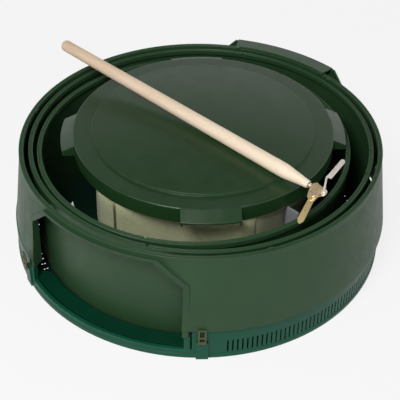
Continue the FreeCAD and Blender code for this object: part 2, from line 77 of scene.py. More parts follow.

# Cosine between the rounded and the true normal, on a fully lightened edge (wear and painted highlight) and
# where the lightening ends
worn_and_highlit_cosine = 0.80
flat_cosine = 0.99

# Finish of the zinc plating: sizes in metres, and how far its roughness varies
zinc_cloud_size = 0.006
zinc_gloss_size = 0.003
zinc_gloss_drop = 0.08
zinc_gloss_rise = 0.12
zinc_grain_size = 0.0012
zinc_grain_height = 0.00004
zinc_grain_strength = 0.4
zinc_edge_round = 0.0006

# Wood: sizes in metres, and how slowly each pattern changes along the stick
wood_grain_size = 0.004
wood_grain_pace = 0.06
fleck_size = 0.0016
fleck_pace = 0.18
fleck_height = 0.0002
fleck_strength = 0.3
wood_edge_round = 0.0012

# Cloth and sewing thread: sizes in metres
weave_radius = 0.225
cloth_cloud_size = 0.035
crease_size = 0.05
crease_height = 0.004
crease_strength = 0.35
thread_height = 0.0003
thread_strength = 0.5
fuzz_strength = 0.4
twist_size = 0.0008
twist_height = 0.0002
twist_strength = 0.5

# Share of light that the cloth's darker tones keep (the last is painted shade on the cover's right side,
# for the lid's shadow), and where along X that painted shade starts and fades in
speckle_light = 0.74
gap_light = 0.72
cover_shade_light = 0.32
cover_shade_start = 0.098
cover_shade_fade = 0.03

# Lower ring: its wall's radius at the foot and at the rim, which tells the hatch frames from the wall
wall_middle = (0.0045, -0.002)
wall_foot_radius = 0.391
wall_rim_radius = 0.3715
wall_foot_height = 0.0753
wall_rim_height = 0.230
frame_lift = 0.0012

# Folded jacket: corners of its outer face, seen from above
jacket_corners = (
    (-0.198, -0.168), (-0.159, -0.203), (0.088, -0.246), (0.112, -0.240), (0.168, -0.203),
    (0.232, -0.095), (0.240, 0.060), (0.175, 0.150), (0.040, 0.198), (-0.110, 0.190),
    (-0.204, 0.110), (-0.213, -0.020),
)
jacket_middle = Vector((0.0, -0.020, 0.0))
jacket_low = 0.0105
jacket_high = 0.2325
jacket_corner_round = 0.012
corner_steps = 4
crown_turns = (45, 90, 135)

# Uneven folds of the jacket: how the noise falls off and refines, octave by octave
octave_fall = 1.0
octave_step = 2.0
octave_count = 3

# Jacket cover: its faces as shares of the way out to the corners, its crown, and how it swells
cover_outer_share = 0.993
cover_inner_share = 0.885
cover_crown = 0.010
cover_rows = 12
cover_spacing = 0.012
cover_wrinkle = 0.0012
cover_wrinkle_size = 0.05
seam_hold = 0.007
hem_hold = 0.008
jacket_voxel = 0.008
jacket_pressure = 4.0
jacket_swell = 0.005
jacket_frames = 12
cloth_quality = 5

# Jacket lining, inside the cover
lining_outer_share = 0.878
lining_inner_share = 0.85
lining_drop = 0.003
lining_crown = 0.003
lining_rows = 14
lining_spacing = 0.010
lining_wrinkle = 0.0009
lining_wrinkle_size = 0.03

# Front fold of the jacket, between two of the corners, with a dark cord along the left end: painted shade
# for the shadow line at the fold's edge
front_fold = (1, 3)
fold_thick = 0.007
fold_body = 0.005
fold_root_share = 0.35
fold_hem = 0.002
fold_hem_level = 0.6
fold_hem_rise = 12
fold_rows = 26
fold_spacing = 0.008
fold_left_steps = 1.5
fold_right_steps = 6
fold_swelling = 0.0012
fold_swelling_rates = (9, 2)
fold_swelling_seed = 0.3
fold_cord = 0.0018
cord_sides = 8
cord_rows = 30
cord_inset = 0.006
cord_sway = 0.0006
cord_sway_rate = 30
cord_sway_seeds = (0.7, 1.3)

# Stitches: a thread's arch is given as (share of its length, share of its height)
stitch_pitch = 0.008
stitch_length = 0.005
stitch_thick = 0.0011
stitch_sunk = 0.2
stitch_arch = ((0.0, 0.0), (0.25, 1.0), (0.75, 1.0), (1.0, 0.0))

# Grey flap at the right front corner
flap_corner = 4
flap_root = 0.002
flap_reach = 0.034
flap_low = jacket_low + 0.001
flap_high = 0.231
flap_thick = 0.0014
flap_columns = 8
flap_rows = 36
flap_wave = 0.0016
flap_wave_out = 2.2
flap_wave_up = 5.0
flap_crumple = 0.0012
flap_crumple_rates = (2.0, 7.0)
flap_crumple_seed = 4.2
flap_seam = 0.0045
flap_seam_inset = 0.004
flap_seam_lift = 0.0004

# Closing straps on the back
strap_pairs = ((8, 9), (6, 7))
strap_width = 0.038
strap_length = 0.120
strap_thick = 0.0022
strap_middle = 0.1215
strap_columns = 10
strap_steps = 40
strap_lift = 0.0022
strap_sewn_share = 0.15
strap_bow = 0.0015
strap_edge = 0.0004
strap_edge_power = 6
strap_seam_insets = (0.006, 0.020)
strap_seam_lift = 0.0030
strap_seam_start = 0.004
strap_seam_end = 0.002
strap_pitch_share = 0.8

# Pale lining tail between the jacket's left side and the rings
tail_outline = (
    (-0.222, 0.030), (-0.238, 0.150), (-0.2475, 0.190),
    (-0.254, 0.181), (-0.257, 0.120), (-0.246, 0.030),
)
tail_y = -0.150
tail_cuts = 6
tail_thick = 0.0012
tail_wave = 0.004
tail_wave_rate = 60
tail_crumple = 0.003
tail_crumple_size = 0.04

# Stitches up the jacket's corners
corner_seam_lift = 0.0006
corner_seam_inset = 0.012

# Stirring stick: middle of its far end and of the wood's tip
stick_far = Vector((-0.296, 0.228, 0.320))
stick_tip = Vector((0.208, -0.211, 0.286))


def paint(red, green, blue):
    """A colour given as it looks on a screen, from 0 to 255, as linear values."""
    linear = []
    for level in (red, green, blue):
        share = level / 255
        linear.append(share / 12.92 if share <= 0.04045 else ((share + 0.055) / 1.055) ** 2.4)
    return (*linear, 1.0)


def dimmed(colour, share):
    """A colour that keeps a share of its light."""
    return tuple(level * share for level in colour[:3]) + (1.0,)


class Nodes:
    """A material's node tree, with short ways to add and join nodes."""

    def __init__(self, name):
        self.material = bpy.data.materials.new(name)
        self.material.use_nodes = True
        self.tree = self.material.node_tree
        self.shader = self.tree.nodes["Principled BSDF"]

    def add(self, kind, **settings):
        node = self.tree.nodes.new(kind)
        for name, value in settings.items():
            setattr(node, name, value)
        return node

    def join(self, source, target):
        self.tree.links.new(source, target)

    def feed(self, source, socket):
        """Joins an output to one of the shader's inputs."""
        self.join(source, self.shader.inputs[socket])

    def set(self, **values):
        for name, value in values.items():
            self.shader.inputs[name.replace("_", " ")].default_value = value

    def place(self):
        return self.add("ShaderNodeTexCoord").outputs["Object"]

    def maths(self, operation, first, second=0.0):
        node = self.add("ShaderNodeMath", operation=operation)
        for value, target in ((first, node.inputs[0]), (second, node.inputs[1])):
            if isinstance(value, (int, float)):
                target.default_value = value
            else:
                self.join(value, target)
        return node.outputs[0]

    def parts(self, vector):
        node = self.add("ShaderNodeSeparateXYZ")
        self.join(vector, node.inputs[0])
        return node.outputs

    def bundle(self, *values):
        node = self.add("ShaderNodeCombineXYZ")
        for value, target in zip(values, node.inputs):
            self.join(value, target)
        return node.outputs[0]

    def along(self, direction):
        """How far a point lies along a direction."""
        node = self.add("ShaderNodeVectorMath", operation="DOT_PRODUCT")
        node.inputs[1].default_value = direction
        self.join(self.place(), node.inputs[0])
        return node.outputs["Value"]

    def noise(self, size, detail=3.0, roughness=0.5, vector=None):
        """Noise in the frame's own coordinates, with features about as large as size."""
        node = self.add("ShaderNodeTexNoise")
        node.inputs["Scale"].default_value = 1 / size
        node.inputs["Detail"].default_value = detail
        node.inputs["Roughness"].default_value = roughness
        self.join(vector or self.place(), node.inputs["Vector"])
        return node.outputs["Fac"]

    def spread(self, source, low, high, start=0.3, end=0.7):
        """The source's start to end, drawn out to low to high."""
        node = self.add("ShaderNodeMapRange")
        node.inputs["From Min"].default_value = start
        node.inputs["From Max"].default_value = end
        node.inputs["To Min"].default_value = low
        node.inputs["To Max"].default_value = high
        self.join(source, node.inputs["Value"])
        return node.outputs["Result"]

    def blend(self, share, first, second):
        """A colour between two colours or colour outputs, by the Mix node's colour sockets 6, 7 and 2."""
        node = self.add("ShaderNodeMix", data_type="RGBA")
        self.join(share, node.inputs[0])
        for value, target in ((first, node.inputs[6]), (second, node.inputs[7])):
            if isinstance(value, tuple):
                target.default_value = value
            else:
                self.join(value, target)
        return node.outputs[2]

    def bump(self, height, depth, strength=1.0, under=None):
        node = self.add("ShaderNodeBump")
        node.inputs["Strength"].default_value = strength
        node.inputs["Distance"].default_value = depth
        self.join(height, node.inputs["Height"])
        if under is not None:
            self.join(under, node.inputs["Normal"])
        return node.outputs["Normal"]

    def soft_edges(self, radius):
        node = self.add("ShaderNodeBevel", samples=edge_samples)
        node.inputs["Radius"].default_value = radius
        return node.outputs["Normal"]

    def worn_and_highlit_edges(self, rounded):
        """1 on edges and 0 on flats: how far the rounded normal leans from the true one."""
        node = self.add("ShaderNodeVectorMath", operation="DOT_PRODUCT")
        self.join(rounded, node.inputs[0])
        self.join(self.add("ShaderNodeNewGeometry").outputs["True Normal"], node.inputs[1])
        return self.spread(node.outputs["Value"], 1.0, 0.0, worn_and_highlit_cosine, flat_cosine)


def frame_share(skin):
    """1 on the hatch frames and 0 elsewhere: how far a point stands proud of the lower ring's wall."""
    x, y, z = skin.parts(skin.place())
    right = skin.maths("SUBTRACT", x, wall_middle[0])
    back = skin.maths("SUBTRACT", y, wall_middle[1])
    squares = [skin.maths("MULTIPLY", way, way) for way in (right, back)]
    radius = skin.maths("SQRT", skin.maths("ADD", *squares))
    slope = (wall_foot_radius - wall_rim_radius) / (wall_rim_height - wall_foot_height)
    drawn_in_by = skin.maths("MULTIPLY", slope, skin.maths("SUBTRACT", z, wall_foot_height))
    wall = skin.maths("SUBTRACT", wall_foot_radius, drawn_in_by)
    return skin.spread(skin.maths("SUBTRACT", radius, wall), 0.0, 1.0, frame_lift, 2 * frame_lift)


def moulded_plastic(name, colour, shade, worn_and_highlit, roughness, specular, frames=None):
    """Moulded plastic: fine grain, clouds, lighter edges (wear and painted highlight) and uneven gloss;
    frames are a shade apart.
    """
    skin = Nodes(name)
    cloud = skin.spread(skin.noise(blotch_size, detail=4.0, roughness=0.6), 0.0, 1.0)
    tone = skin.blend(cloud, colour, shade)
    if frames is not None:
        tone = skin.blend(frame_share(skin), tone, frames)
    rounded = skin.soft_edges(edge_round)
    patches = skin.spread(skin.noise(rub_and_highlight_size, detail=4.0), 0.2, 0.8)
    rub_and_highlight = skin.maths("MULTIPLY", skin.worn_and_highlit_edges(rounded), patches)
    # Edges lightened to the edge tone: partly wear, partly painted highlight along the rounded edges
    skin.feed(skin.blend(rub_and_highlight, tone, worn_and_highlit), "Base Color")
    gloss = skin.noise(gloss_size, detail=5.0, roughness=0.65)
    skin.feed(skin.spread(gloss, roughness - gloss_drop, roughness + gloss_rise), "Roughness")
    grain = skin.noise(grain_size, detail=2.0, roughness=0.6)
    skin.feed(skin.bump(grain, grain_height, grain_strength, rounded), "Normal")
    skin.set(Specular_IOR_Level=specular)
    return skin.material


def plated_metal(name, colour, tint, roughness):
    """Zinc-plated steel: cloudy tint, uneven gloss and a fine grain."""
    metal = Nodes(name)
    cloud = metal.spread(metal.noise(zinc_cloud_size, detail=4.0), 0.0, 1.0)
    metal.feed(metal.blend(cloud, colour, tint), "Base Color")
    gloss = metal.noise(zinc_gloss_size, detail=4.0)
    metal.feed(metal.spread(gloss, roughness - zinc_gloss_drop, roughness + zinc_gloss_rise), "Roughness")
    rounded = metal.soft_edges(zinc_edge_round)
    grain = metal.noise(zinc_grain_size)
    metal.feed(metal.bump(grain, zinc_grain_height, zinc_grain_strength, rounded), "Normal")
    metal.set(Metallic=1.0)
    return metal.material


def turned_wood(name):
    """Pale beech, darker towards the far end: long grain lines with short dark flecks."""
    wood = Nodes(name)
    line = (stick_tip - stick_far).normalized()
    across = Vector((-line.y, line.x, 0.0)).normalized()
    over = line.cross(across)
    run = wood.along(line)
    sides = [wood.along(across), wood.along(over)]
    grain_place = wood.bundle(wood.maths("MULTIPLY", run, wood_grain_pace), *sides)
    grain = wood.noise(wood_grain_size, detail=4.0, roughness=0.6, vector=grain_place)
    fleck_place = wood.bundle(wood.maths("MULTIPLY", run, fleck_pace), *sides)
    flecks = wood.noise(fleck_size, detail=2.0, vector=fleck_place)
    lines = wood.spread(grain, 0.0, 1.0)
    # Darker towards the far end, lighter towards the tip
    held = wood.blend(lines, paint(192, 166, 140), paint(206, 182, 156))
    tip_tone = wood.blend(lines, paint(228, 209, 183), paint(238, 224, 201))
    from_far = wood.spread(run, 0.0, 1.0, stick_far.dot(line), stick_tip.dot(line))
    dark = wood.spread(flecks, 0.0, 0.55, start=0.62, end=0.74)
    tone = wood.blend(from_far, held, tip_tone)
    wood.feed(wood.blend(dark, tone, paint(188, 150, 112)), "Base Color")
    wood.feed(wood.spread(grain, 0.50, 0.66), "Roughness")
    rounded = wood.soft_edges(wood_edge_round)
    wood.feed(wood.bump(flecks, fleck_height, fleck_strength, rounded), "Normal")
    return wood.material


def woven_cloth(name, colour, shade, thread, sheen=0.1, roughness=0.9, shade_start_x=None):
    """Plain weave that runs upright and round the jacket, with faint clouds, speckles and fuzz.

    Right of the given X the cloth is darkened: painted shade for the lid's shadow on that side.
    """
    cloth = Nodes(name)
    x, y, z = cloth.parts(cloth.place())
    turn = cloth.maths("ARCTAN2", cloth.maths("SUBTRACT", y, jacket_middle.y), x)
    step = math.pi / thread
    round_wave = cloth.maths("SINE", cloth.maths("MULTIPLY", turn, weave_radius * step))
    up_wave = cloth.maths("SINE", cloth.maths("MULTIPLY", z, step))
    weave = cloth.maths("MULTIPLY", round_wave, up_wave)
    cloud = cloth.spread(cloth.noise(cloth_cloud_size, detail=4.0, roughness=0.6), 0.0, 1.0)
    tone = cloth.blend(cloud, colour, shade)
    speckle = cloth.spread(cloth.noise(thread * 3.0, roughness=0.6), 0.7, 0.0)
    tone = cloth.blend(speckle, tone, dimmed(colour, speckle_light))
    if shade_start_x is not None:
        # Painted shade: the cloth darkens to the right of the given X, where the lid shades the cover
        shade_share = cloth.spread(x, 0.0, 0.85, shade_start_x, shade_start_x + cover_shade_fade)
        tone = cloth.blend(shade_share, tone, dimmed(shade, cover_shade_light))
    gaps = cloth.spread(weave, 0.4, 0.0, start=-1.0, end=0.2)
    cloth.feed(cloth.blend(gaps, tone, dimmed(shade, gap_light)), "Base Color")
    creases = cloth.bump(cloth.noise(crease_size, roughness=0.55), crease_height, crease_strength)
    threads = cloth.bump(weave, thread_height, thread_strength, creases)
    fuzz = cloth.noise(thread * 1.5, roughness=0.6)
    cloth.feed(cloth.bump(fuzz, thread_height, fuzz_strength, threads), "Normal")
    cloth.set(Roughness=roughness, Sheen_Weight=sheen, Sheen_Roughness=0.5)
    return cloth.material


def thread_stuff(name, colour, shade):
    """Sewing thread: twisted, slightly glossy."""
    thread = Nodes(name)
    twist = thread.noise(twist_size, detail=2.0)
    thread.feed(thread.blend(twist, colour, shade), "Base Color")
    thread.feed(thread.bump(twist, twist_height, twist_strength), "Normal")
    thread.set(Roughness=0.6)
    return thread.material


def dress(material, *names):
    """Gives CAD nodes one material."""
    for name in names:
        nodes[name].data.materials.clear()
        nodes[name].data.materials.append(material)


def look_at(thing, place, target, roll=0.0):
    thing.location = place
    turn = (target - place).to_track_quat("-Z", "Y") @ Quaternion((0, 0, 1), roll)
    thing.rotation_euler = turn.to_euler()


def make_camera():
    data = bpy.data.cameras.new("camera")
    data.lens = camera_lens
    data.sensor_width = camera_sensor
    data.clip_end = camera_reach
    camera = bpy.data.objects.new("camera", data)
    bpy.context.scene.collection.objects.link(camera)
    look_at(camera, camera_place, camera_target, camera_roll)
    bpy.context.scene.camera = camera


def make_world():
    """Pale walls all round, a dark ceiling and a soft panel overhead."""
    world = bpy.data.worlds.new("studio")
    bpy.context.scene.world = world
    world.use_nodes = True
    tree = world.node_tree
    light = tree.nodes["Background"]
    where = tree.nodes.new("ShaderNodeTexCoord")
    rise = tree.nodes.new("ShaderNodeVectorMath")
    rise.operation = "DOT_PRODUCT"
    rise.inputs[1].default_value = studio_up
    tree.links.new(where.outputs["Generated"], rise.inputs[0])
    levels = []
    for start, end, low, high in (
        (wall_top_sine, ceiling_sine, wall_level, ceiling_level),
        (ceiling_end_sine, panel_sine, 0.0, panel_level - ceiling_level),
    ):
        fade = tree.nodes.new("ShaderNodeMapRange")
        fade.interpolation_type = "SMOOTHSTEP"
        fade.inputs["From Min"].default_value = start
        fade.inputs["From Max"].default_value = end
        fade.inputs["To Min"].default_value = low
        fade.inputs["To Max"].default_value = high
        tree.links.new(rise.outputs["Value"], fade.inputs["Value"])
        levels.append(fade.outputs["Result"])
    both = tree.nodes.new("ShaderNodeMath")
    tree.links.new(levels[0], both.inputs[0])
    tree.links.new(levels[1], both.inputs[1])
    tree.links.new(both.outputs[0], light.inputs["Strength"])
    light.inputs["Color"].default_value = (1, 1, 1, 1)


def make_floor():
    """A pale floor: mostly one plain tone to the eye, with a share of real shadow."""
    data = bpy.data.meshes.new("studio_floor")
    reach = floor_half
    data.from_pydata([(-reach, -reach, 0), (reach, -reach, 0), (reach, reach, 0), (-reach, reach, 0)],
                     [], [(0, 1, 2, 3)])
    floor = bpy.data.objects.new("studio_floor", data)
    bpy.context.scene.collection.objects.link(floor)
    material = bpy.data.materials.new("studio_floor")
    material.use_nodes = True
    tree = material.node_tree
    tree.nodes.remove(tree.nodes["Principled BSDF"])
    lit = tree.nodes.new("ShaderNodeBsdfDiffuse")
    lit.inputs["Color"].default_value = floor_tone
    glow = tree.nodes.new("ShaderNodeEmission")
    glow.inputs["Strength"].default_value = floor_level
    plain = tree.nodes.new("ShaderNodeMixShader")
    plain.inputs["Fac"].default_value = floor_shadow
    tree.links.new(glow.outputs[0], plain.inputs[1])
    tree.links.new(lit.outputs[0], plain.inputs[2])
    path = tree.nodes.new("ShaderNodeLightPath")
    seen = path.outputs["Is Camera Ray"]
    for ray in ("Is Glossy Ray", "Is Transmission Ray"):
        either = tree.nodes.new("ShaderNodeMath")
        either.operation = "MAXIMUM"
        tree.links.new(seen, either.inputs[0])
        tree.links.new(path.outputs[ray], either.inputs[1])
        seen = either.outputs[0]
    choose = tree.nodes.new("ShaderNodeMixShader")
    tree.links.new(seen, choose.inputs["Fac"])
    tree.links.new(lit.outputs[0], choose.inputs[1])
    tree.links.new(plain.outputs[0], choose.inputs[2])
    tree.links.new(choose.outputs[0], tree.nodes["Material Output"].inputs["Surface"])
    data.materials.append(material)


def make_key_light():
    """A round soft lamp at the front left, above the camera."""
    data = bpy.data.lights.new("key", "AREA")
    data.shape = "DISK"
    data.size = key_size
    data.energy = key_power
    light = bpy.data.objects.new("key", data)
    bpy.context.scene.collection.objects.link(light)
    look_at(light, key_place, key_aim)


def make_studio():
    """The plain pale set around the object."""
    bpy.context.scene.view_settings.view_transform = "Standard"
    make_world()
    make_floor()
    make_key_light()


def dress_plastics():
    """Each plastic has a colour, a shade of it for its clouds, and the tone of its lighter edges, which is
    wear and painted highlight.
    """
    worn_and_highlit = paint(52, 76, 53)
    green = (paint(35, 63, 37), paint(40, 68, 41), worn_and_highlit)
    lid = (paint(22, 50, 22), paint(26, 54, 26), worn_and_highlit)
    teal = (paint(5, 68, 48), paint(9, 74, 53), paint(50, 106, 88))
    # The sill plates' teal, darker than the base's: painted shade in the hatch openings under the rim
    shaded_sill = (paint(2, 46, 29), paint(3, 52, 34), paint(30, 80, 62))
    # The base floor's teal, much darker than the base: painted shade for the dark inside of the rings
    floor = (paint(8, 30, 22), paint(10, 36, 26), paint(24, 52, 42))
    brown = (paint(66, 68, 38), paint(74, 76, 44), paint(96, 96, 66))
    framed = paint(35, 62, 38)
    dress(moulded_plastic("ring_green", *green, roughness=0.45, specular=0.28), "middle_ring", "upper_ring")
    dress(moulded_plastic("door_green", *green, roughness=0.34, specular=0.5),
          "hatch_door_rear", "hatch_lip_rear", "hatch_door_front", "hatch_lip_front")
    dress(moulded_plastic("ring_green_framed", *green, roughness=0.45, specular=0.28, frames=framed),
          "lower_ring")
    dress(moulded_plastic("lid_green", *lid, roughness=0.35, specular=0.54), "lid_cover")
    dress(moulded_plastic("base_teal", *teal, roughness=0.40, specular=0.22), "base_rim")
    dress(moulded_plastic("sill_teal_painted_shade", *shaded_sill, roughness=0.45, specular=0.12), "sill_plates")
    dress(moulded_plastic("floor_teal_painted_shade", *floor, roughness=0.5, specular=0.15), "base_floor")
    dress(moulded_plastic("loop_brown", *brown, roughness=0.4, specular=0.3), "clip_loops")


def dress_metals():
    dress(plated_metal("bright_zinc", paint(222, 217, 208), paint(230, 220, 208), roughness=0.44),
          "upper_wing", "head_stud", "upper_wing_pin")
    dress(plated_metal("pink_zinc", paint(232, 204, 172), paint(224, 200, 150), roughness=0.32),
          "head_clevis", "lower_wing_pin")
    dress(plated_metal("yellow_zinc", paint(220, 202, 128), paint(224, 198, 156), roughness=0.34),
          "lower_wing")


def dress_wood():
    dress(turned_wood("beech"), "stick_handle")


def mesh_piece(name, points, faces, material, slot):
    """A new piece from points and faces, which rides with the jacket."""
    data = bpy.data.meshes.new(name)
    data.from_pydata([tuple(point) for point in points], [], faces)
    data.validate()
    for face in data.polygons:
        face.use_smooth = True
    data.materials.append(material)
    piece = bpy.data.objects.new(name, data)
    bpy.context.scene.collection.objects.link(piece)
    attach(piece, "jacket")
    return piece


def plan(corner):
    return Vector((*jacket_corners[corner % len(jacket_corners)], 0.0))


def drawn_in(point, share):
    """A plan point, drawn in towards the jacket's middle."""
    return jacket_middle + (point - jacket_middle) * share


def soft_loop(spacing):
    """The jacket's plan outline with rounded corners; straight runs are cut to about the spacing."""
    line = []
    count = len(jacket_corners)
    for index in range(count):
        here = plan(index)
        back = (plan(index - 1) - here).normalized()
        ahead = (plan(index + 1) - here).normalized()
        first = here + back * jacket_corner_round
        last = here + ahead * jacket_corner_round
        for step in range(corner_steps + 1):
            share = step / corner_steps
            line.append(first.lerp(here, share).lerp(here.lerp(last, share), share))
    loop = []
    for index, start in enumerate(line):
        end = line[(index + 1) % len(line)]
        pieces = max(1, round((end - start).length / spacing))
        loop.extend(start.lerp(end, step / pieces) for step in range(pieces))
    return loop


def ring_points(loop, profile):
    """Points and faces of a closed band: a (share, height) profile carried round a plan loop."""
    points = []
    for point in loop:
        points.extend(drawn_in(point, share) + Vector((0, 0, height)) for share, height in profile)
    around = len(loop)
    across = len(profile)
    faces = []
    for index in range(around):
        for step in range(across):
            a = index * across + step
            b = index * across + (step + 1) % across
            c = ((index + 1) % around) * across + (step + 1) % across
            d = ((index + 1) % around) * across + step
            faces.append((a, d, c, b))
    return points, faces


def grid_faces(columns, rows):
    """Faces of a grid of points that are listed column by column."""
    faces = []
    for column in range(columns):
        for row in range(rows):
            a = column * (rows + 1) + row
            faces.append((a, a + rows + 1, a + rows + 2, a + 1))
    return faces


def thicken(piece, thickness, offset):
    """Gives a sheet its thickness; offset -1 lays it behind the sheet and 0 to both sides."""
    body = piece.modifiers.new("body", "SOLIDIFY")
    body.thickness = thickness
    body.offset = offset


def round_off(piece):
    """Smooths a pad's form by one level."""
    smooth = piece.modifiers.new("smooth", "SUBSURF")
    smooth.levels = 1
    smooth.render_levels = 1


def crowned_profile(outer, inner, low, high, crown, steps):
    """A closed upright profile, rounded at its top and bottom."""
    middle = (outer + inner) / 2
    half = (outer - inner) / 2
    profile = []
    for step in range(steps + 1):
        profile.append((outer, low + crown + (high - low - 2 * crown) * step / steps))
    for turn in crown_turns:
        lean = math.radians(turn)
        profile.append((middle + half * math.cos(lean), high - crown + crown * math.sin(lean)))
    for step in range(steps + 1):
        profile.append((inner, high - crown - (high - low - 2 * crown) * step / steps))
    for turn in reversed(crown_turns):
        lean = math.radians(turn)
        profile.append((middle + half * math.cos(lean), low + crown - crown * math.sin(lean)))
    return profile


def swell(piece, held):
    """Blows a closed pad up a little as cloth; held says how firmly each place stays."""
    remesh = piece.modifiers.new("voxels", "REMESH")
    remesh.mode = "VOXEL"
    remesh.voxel_size = jacket_voxel
    bpy.context.view_layer.update()
    shaped = bpy.data.meshes.new_from_object(piece.evaluated_get(bpy.context.evaluated_depsgraph_get()))
    piece.modifiers.clear()
    old = piece.data
    piece.data = shaped
    bpy.data.meshes.remove(old)
    group = piece.vertex_groups.new(name="held")
    start = [vertex.co.copy() for vertex in shaped.vertices]
    for index, place in enumerate(start):
        group.add([index], held(place), "REPLACE")
    cloth = piece.modifiers.new("cloth", "CLOTH")
    cloth.settings.quality = cloth_quality
    cloth.settings.vertex_group_mass = "held"
    cloth.settings.use_pressure = True
    cloth.settings.uniform_pressure_force = jacket_pressure
    cloth.settings.effector_weights.gravity = 0.0
    cloth.point_cache.frame_start = 1
    cloth.point_cache.frame_end = jacket_frames
    scene = bpy.context.scene
    for step in range(1, jacket_frames + 1):
        scene.frame_set(step)
    shaped = piece.evaluated_get(bpy.context.evaluated_depsgraph_get()).data
    moved = [vertex.co.copy() for vertex in shaped.vertices]
    piece.modifiers.clear()
    scene.frame_set(1)
    for vertex, before, after in zip(piece.data.vertices, start, moved):
        change = after - before
        if change.length > jacket_swell:
            change = change.normalized() * jacket_swell
        vertex.co = before + change
    for face in piece.data.polygons:
        face.use_smooth = True


def held_at_seams(place):
    """1 at the jacket's corner seams and hems, and 0 elsewhere."""
    flat = Vector((place.x, place.y, 0.0))
    gap = min((flat - drawn_in(plan(index), share)).length
              for index in range(len(jacket_corners)) for share in (1.0, cover_inner_share))
    hem = min(place.z - jacket_low, jacket_high - place.z)
    return 1.0 if gap < seam_hold or hem < hem_hold else 0.0


def uneven(place):
    """Smooth noise for folds and swellings."""
    return noise.fractal(place, octave_fall, octave_step, octave_count)


def wrinkle(piece, depth, size):
    """Soft uneven folds, pushed along the normals."""
    data = piece.data
    for vertex in data.vertices:
        place = vertex.co / size
        vertex.co += vertex.normal * depth * uneven(place)


def stitches(name, rows, material):
    """Rows of short raised threads; a row is (start and end points, outward direction)."""
    points = []
    faces = []
    for line, out in rows:
        for start, end in zip(line[::2], line[1::2]):
            ahead = (end - start).normalized()
            side = ahead.cross(out).normalized()
            base = len(points)
            half = stitch_thick / 2
            for share, lift in stitch_arch:
                spot = start.lerp(end, share) + out * stitch_thick * (lift - stitch_sunk)
                points.extend((spot - side * half, spot + out * half * lift, spot + side * half))
            for step in range(len(stitch_arch) - 1):
                for lane in range(2):
                    a = base + step * 3 + lane
                    faces.append((a, a + 3, a + 4, a + 1))
    return mesh_piece(name, points, faces, material, "jacket_grey")


def upright_row(place, low, high):
    """Start and end points of stitches up an upright seam."""
    row = []
    height = low
    while height + stitch_length < high:
        row.append(place + Vector((0, 0, height)))
        row.append(place + Vector((0, 0, height + stitch_length)))
        height += stitch_pitch
    return row


def make_jacket_cover(cloth):
    profile = crowned_profile(cover_outer_share, cover_inner_share, jacket_low, jacket_high,
                              cover_crown, cover_rows)
    band = ring_points(soft_loop(cover_spacing), profile)
    cover = mesh_piece("jacket_cover_pad", *band, cloth, "jacket_olive")
    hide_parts("jacket_cover", "jacket_core")
    swell(cover, held_at_seams)
    wrinkle(cover, cover_wrinkle, cover_wrinkle_size)
    round_off(cover)


def make_jacket_lining(cloth):
    """The lining on the inner side of the cover."""
    profile = crowned_profile(lining_outer_share, lining_inner_share, jacket_low, jacket_high - lining_drop,
                              lining_crown, lining_rows)
    band = ring_points(soft_loop(lining_spacing), profile)
    lining = mesh_piece("jacket_lining_sheet", *band, cloth, "jacket_lining")
    wrinkle(lining, lining_wrinkle, lining_wrinkle_size)
    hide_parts("jacket_lining")


def make_front_fold(cloth):
    """The front panel, folded over the left one: a thin pad that runs out flat at its right end."""
    first, last = front_fold
    corners = [plan(index) for index in range(first, last + 1)]
    line = []
    for start, end in zip(corners, corners[1:]):
        pieces = max(2, round((end - start).length / fold_spacing))
        line.extend(start.lerp(end, step / pieces) for step in range(pieces))
    line.append(corners[-1])
    low = jacket_low + fold_hem
    high = jacket_high - fold_hem
    rate_along, rate_up = fold_swelling_rates
    points = []
    for index, place in enumerate(line):
        before = line[max(0, index - 1)]
        after = line[min(len(line) - 1, index + 1)]
        ahead = (after - before).normalized()
        out = Vector((ahead.y, -ahead.x, 0.0))
        left = min(1.0, index / fold_left_steps)
        right = math.sin(math.pi / 2 * min(1.0, (len(line) - 1 - index) / fold_right_steps))
        for row in range(fold_rows + 1):
            share = row / fold_rows
            hem = min(1.0, fold_hem_rise * min(share, 1 - share))
            swellings = uneven(Vector((place.x * rate_along, share * rate_up, fold_swelling_seed)))
            lift = fold_thick * (fold_root_share + (1 - fold_root_share) * math.sqrt(left))
            lift *= fold_hem_level + (1 - fold_hem_level) * math.sqrt(hem)
            lift = lift * right + fold_swelling * swellings * left * right
            points.append(place + out * lift + Vector((0, 0, low + (high - low) * share)))
    faces = grid_faces(len(line) - 1, fold_rows)
    fold = mesh_piece("jacket_front_fold", points, faces, cloth, "jacket_olive")
    thicken(fold, fold_body, -1.0)
    round_off(fold)


def make_fold_shade_cord(thread):
    """A dark cord along the front panel's left end: painted shade for the shadow line where it lies over
    the left panel.
    """
    here = plan(front_fold[0])
    ahead = (plan(front_fold[0] + 1) - here).normalized()
    out = Vector((ahead.y, -ahead.x, 0.0))
    middle = here + out * (fold_thick * fold_root_share) - ahead * fold_cord
    low = jacket_low + cord_inset
    high = jacket_high - cord_inset
    first_seed, second_seed = cord_sway_seeds
    points = []
    for row in range(cord_rows + 1):
        height = low + (high - low) * row / cord_rows
        sway = cord_sway * noise.noise(Vector((first_seed, height * cord_sway_rate, second_seed)))
        for side in range(cord_sides):
            turn = 2 * math.pi * side / cord_sides
            reach = ahead * math.cos(turn) + out * math.sin(turn)
            points.append(middle + reach * fold_cord + out * sway + Vector((0, 0, height)))
    top = cord_rows * cord_sides
    faces = [tuple(range(cord_sides)), tuple(range(top + cord_sides - 1, top - 1, -1))]
    for row in range(cord_rows):
        for side in range(cord_sides):
            a = row * cord_sides + side
            b = row * cord_sides + (side + 1) % cord_sides
            faces.append((a, a + cord_sides, b + cord_sides, b))
    mesh_piece("jacket_fold_shade_cord", points, faces, thread, "jacket_grey")


